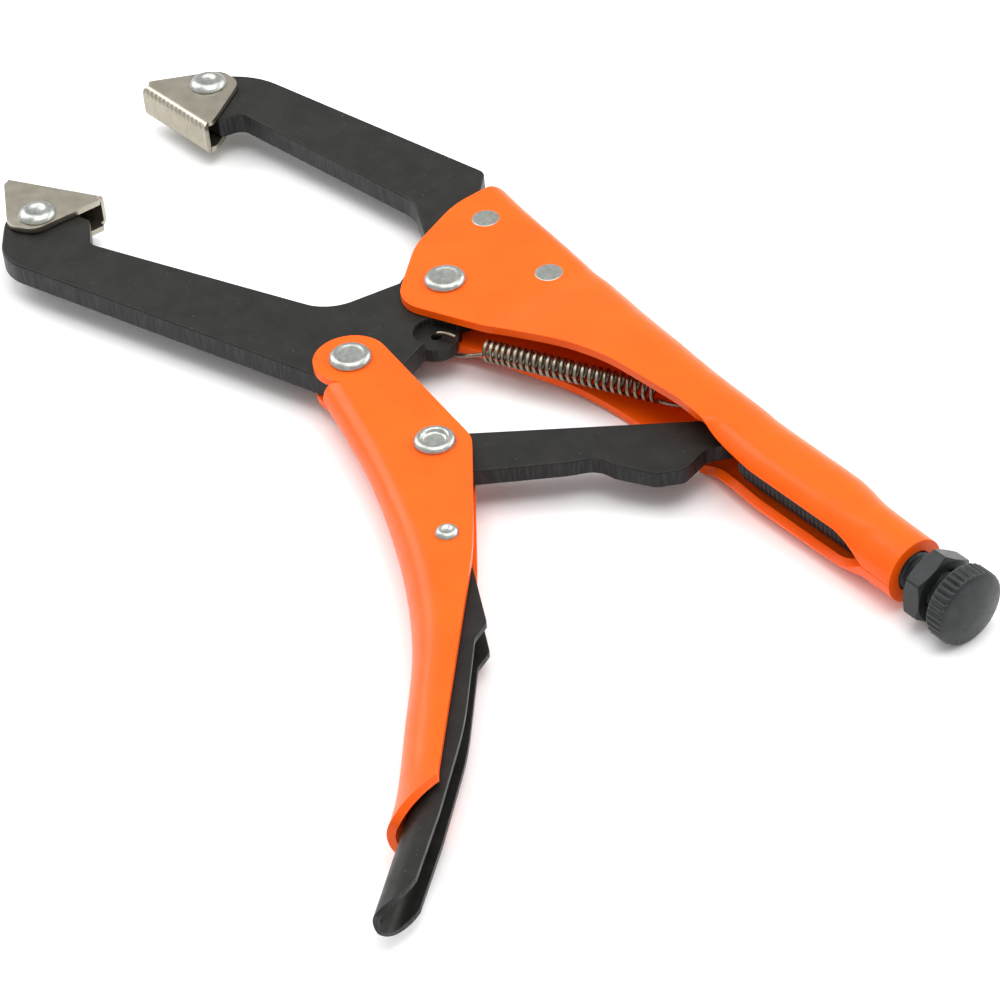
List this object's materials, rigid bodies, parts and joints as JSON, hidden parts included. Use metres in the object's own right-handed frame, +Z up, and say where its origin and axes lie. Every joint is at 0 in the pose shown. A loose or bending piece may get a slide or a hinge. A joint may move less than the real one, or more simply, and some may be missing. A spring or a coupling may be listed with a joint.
{
  "type": "locking c clamp",
  "caption": "Locking toggle clamp with a long-reach jaw pair, swivelling grip pads, a folded-steel handle with adjusting screw, and a lever with release trigger.",
  "frame": {"origin": "under the middle of the tool lying on its side, on the surface it lies on", "axes": "+X back along the adjusting screw, +Y towards the spine of the fixed handle, +Z up out of the flat of the tool"},
  "size_m": [0.305, 0.1818, 0.0188],
  "materials": {
    "orange_paint": "gloss",
    "black_steel": "satin black phosphate",
    "nickel": "satin nickel plate",
    "zinc": "zinc plate",
    "spring_steel": "oiled spring wire",
    "black_oxide": "black oxide"
  },
  "bodies": {
    "handle": {"handle_shell": "orange_paint", "fixed_jaw": "black_steel", "fixed_jaw_rivet_front": "zinc", "fixed_jaw_rivet_rear": "zinc", "main_pivot_rivet": "zinc", "fixed_pad_rivet": "zinc", "return_spring": "spring_steel"},
    "jaw": {"movable_jaw": "black_steel", "movable_pad_rivet": "zinc"},
    "lever": {"lever_shell": "orange_paint", "lever_pivot_rivet": "zinc", "link_pivot_rivet": "zinc", "release_pivot_rivet": "zinc"},
    "link": {"toggle_link": "black_steel"},
    "release": {"release_lever": "black_steel"},
    "nut_carriage": {"lock_nut": "black_oxide"},
    "screw": {"adjusting_screw": "black_oxide"},
    "fixed_pad_swivel": {"fixed_pad": "nickel"},
    "movable_pad_swivel": {"movable_pad": "nickel"}
  },
  "joints": [
    {"name": "jaw_pivot", "type": "hinge", "parent": "handle", "child": "jaw", "pos_m": [-0.02299, 0.05255, 0.0094], "axis": [0, 0, -1], "range_deg": [0, 17.5], "deforming": ["return_spring"]},
    {"name": "lever_pivot", "type": "hinge", "parent": "jaw", "child": "lever", "pos_m": [-0.01399, 0.01625, 0.0094], "axis": [0, 0, 1], "range_deg": [0, 44.7]},
    {"name": "link_pivot", "type": "hinge", "parent": "lever", "child": "link", "pos_m": [0.02611, 0.01135, 0.0094], "axis": [0, 0, -1], "range_deg": [0, 46.5]},
    {"name": "release_pivot", "type": "hinge", "parent": "lever", "child": "release", "pos_m": [0.05581, -0.00795, 0.0094], "axis": [0, 0, 1], "range_deg": [0, 15]},
    {"name": "screw_travel", "type": "slide", "parent": "handle", "child": "nut_carriage", "axis": [1, 0, 0], "range_m": [0, 0.012]},
    {"name": "screw_turn", "type": "hinge", "parent": "nut_carriage", "child": "screw", "pos_m": [0.10701, 0.06545, 0.0094], "axis": [1, 0, 0], "range_deg": [0, 2881]},
    {"name": "fixed_pad_turn", "type": "hinge", "parent": "handle", "child": "fixed_pad_swivel", "pos_m": [-0.13979, 0.06155, 0.0094], "axis": [0, 0, 1], "range_deg": [-15, 15]},
    {"name": "movable_pad_turn", "type": "hinge", "parent": "jaw", "child": "movable_pad_swivel", "pos_m": [-0.12109, -0.00595, 0.0094], "axis": [0, 0, 1], "range_deg": [-15, 15]}
  ],
  "couplings": [
    {"joint": "lever_pivot", "follows": "jaw_pivot", "ratio": 2.55},
    {"joint": "link_pivot", "follows": "jaw_pivot", "ratio": 2.65},
    {"joint": "screw_turn", "follows": "screw_travel", "rad_per_m": 4188.8}
  ]
}
